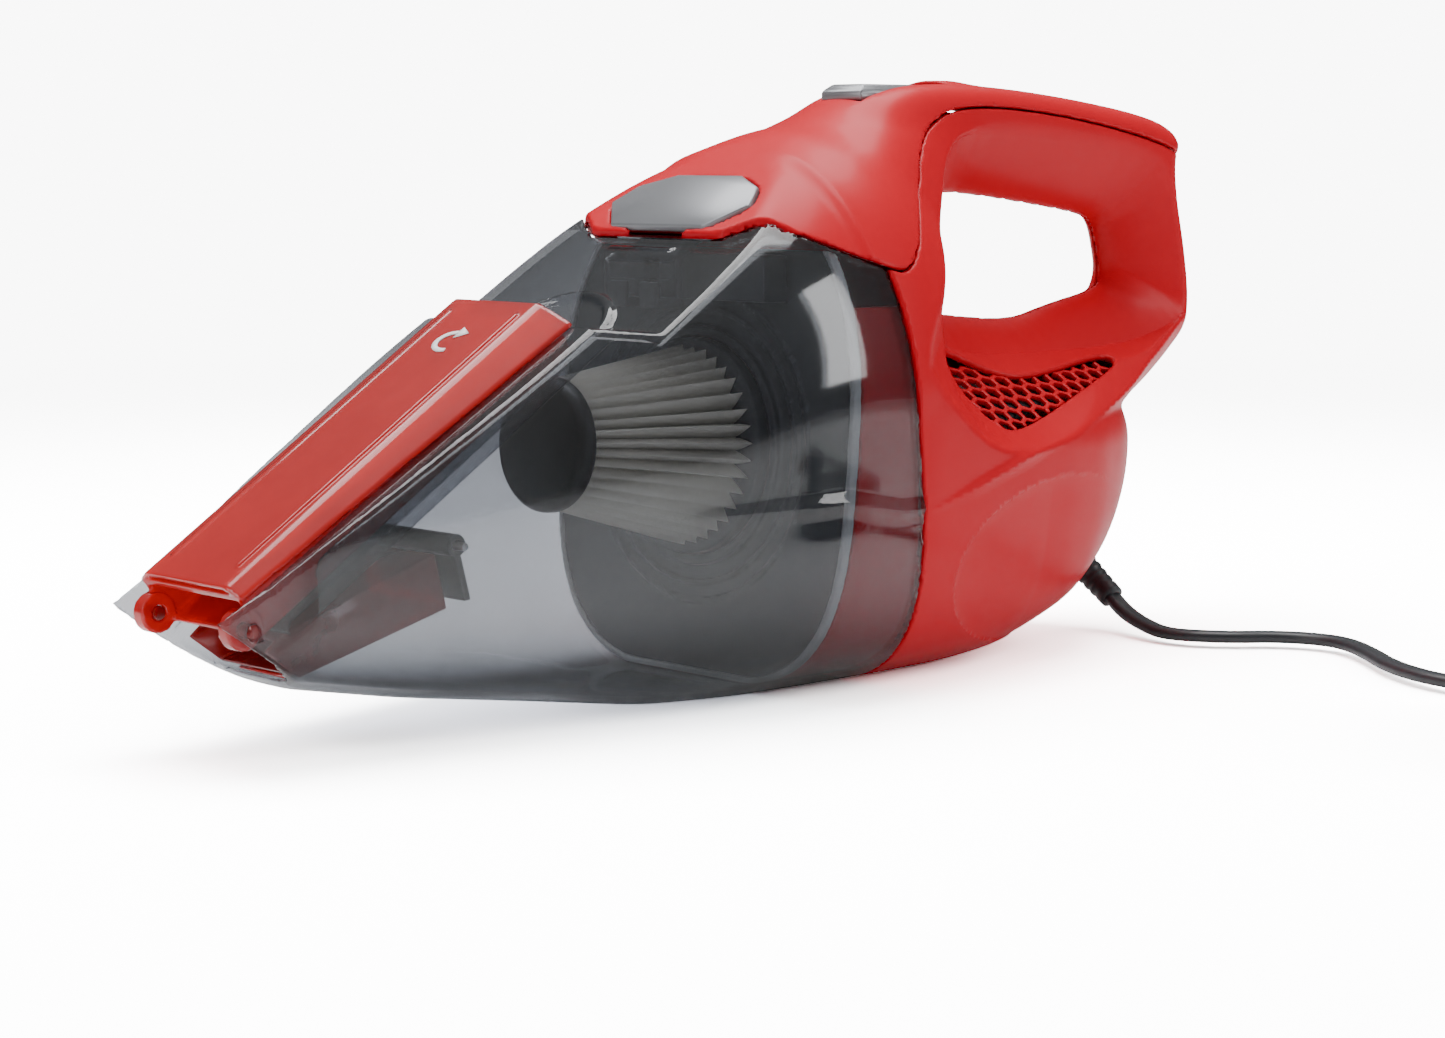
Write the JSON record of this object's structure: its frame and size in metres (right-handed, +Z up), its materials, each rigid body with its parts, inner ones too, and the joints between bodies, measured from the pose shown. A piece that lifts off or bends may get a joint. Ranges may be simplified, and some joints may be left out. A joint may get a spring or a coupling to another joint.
{
  "type": "handheld vacuum",
  "caption": "Corded handheld vacuum: slanted see-through dust cup, flip-out crevice tool, pleated filter, loop handle with vents under the finger gap, flat mains cord.",
  "frame": {"origin": "on the floor plane under the middle of the vacuum's length and width, the cord not counted", "axes": "+X from the nozzle to the rear of the handle, +Z up, so +Y is the side away from a viewer on the left"},
  "size_m": [0.4137, 0.3842, 0.1838],
  "materials": {
    "red_shell": "satin moulded ABS with a fine grain",
    "smoke_clear": "polished smoke-grey see-through polycarbonate",
    "clear_red": "polished translucent red polycarbonate",
    "charcoal": "fine matt moulded",
    "silver_plastic": "metallic-flake satin plastic",
    "soft_grey": "matt elastomer",
    "black_rubber": "matt elastomer",
    "pleats": "pleated filter paper",
    "foam": "open-cell foam",
    "steel": "turned and ground",
    "lamination": "stacked laminations",
    "copper": "enamelled copper",
    "carbon": "pressed carbon",
    "bright_metal": "nickel plated"
  },
  "bodies": {
    "housing": {"left_housing": "red_shell", "right_housing": "red_shell", "top_cover": "red_shell", "left_exhaust_grille": "red_shell", "right_exhaust_grille": "red_shell", "left_exhaust_foam": "foam", "right_exhaust_foam": "foam", "bulkhead": "charcoal", "cup_seal": "soft_grey", "fan_shroud": "charcoal", "motor_can": "steel", "stator_core": "lamination", "field_windings": "copper", "front_bearing": "steel", "rear_bearing": "steel", "front_motor_mount": "black_rubber", "rear_motor_mount": "black_rubber", "brush_holders": "bright_metal", "carbon_brushes": "carbon", "brush_springs": "steel", "switch_module": "charcoal", "cord_strain_relief": "black_rubber", "cord_clamp": "charcoal", "housing_screws": "steel", "power_cord": "black_rubber", "cord_coil": "black_rubber", "cord_tie": "charcoal", "plug_body": "black_rubber", "plug_blades": "bright_metal"},
    "rotor": {"motor_shaft": "steel", "armature": "lamination", "commutator": "copper", "fan_impeller": "silver_plastic"},
    "cup": {"dust_cup": "smoke_clear", "catch_bar": "smoke_clear", "inlet_duct": "clear_red", "nozzle_lip": "clear_red", "tool_clip": "charcoal", "tool_hinge_pins": "steel", "flap_hinge_pin": "steel"},
    "tool": {"crevice_tool": "clear_red"},
    "flap": {"inlet_flap": "black_rubber"},
    "filter": {"filter_end_cap": "charcoal", "filter_pleats": "pleats", "filter_core": "charcoal", "filter_flange": "charcoal", "filter_seal": "black_rubber"},
    "release": {"release_button": "silver_plastic", "latch_hook": "charcoal", "release_spring": "steel"},
    "slider": {"power_slider": "silver_plastic"}
  },
  "joints": [
    {"name": "cup_slide", "type": "slide", "parent": "housing", "child": "cup", "axis": [-1, 0, 0], "range_m": [0, 0.12]},
    {"name": "tool_flip", "type": "hinge", "parent": "cup", "child": "tool", "pos_m": [-0.196, 0, 0.038], "axis": [0, -1, 0], "range_deg": [0, 180]},
    {"name": "flap_swing", "type": "hinge", "parent": "cup", "child": "flap", "pos_m": [-0.123, 0, 0.0535], "axis": [0, -1, 0], "range_deg": [0, 50]},
    {"name": "filter_twist", "type": "hinge", "parent": "housing", "child": "filter", "pos_m": [-0.014, 0, 0.073], "axis": [0.9976, 0, -0.0698], "range_deg": [0, 30]},
    {"name": "rotor_spin", "type": "hinge", "parent": "housing", "child": "rotor", "pos_m": [-0.014, 0, 0.073], "axis": [0.9976, 0, -0.0698], "continuous": true},
    {"name": "release_press", "type": "slide", "parent": "housing", "child": "release", "axis": [0.549, 0, -0.8358], "range_m": [0, 0.003], "stiffness_N_per_m": 800, "deforming": ["release_spring"]},
    {"name": "power_slide", "type": "slide", "parent": "housing", "child": "slider", "axis": [1, 0, 0], "range_m": [0, 0.006]}
  ]
}
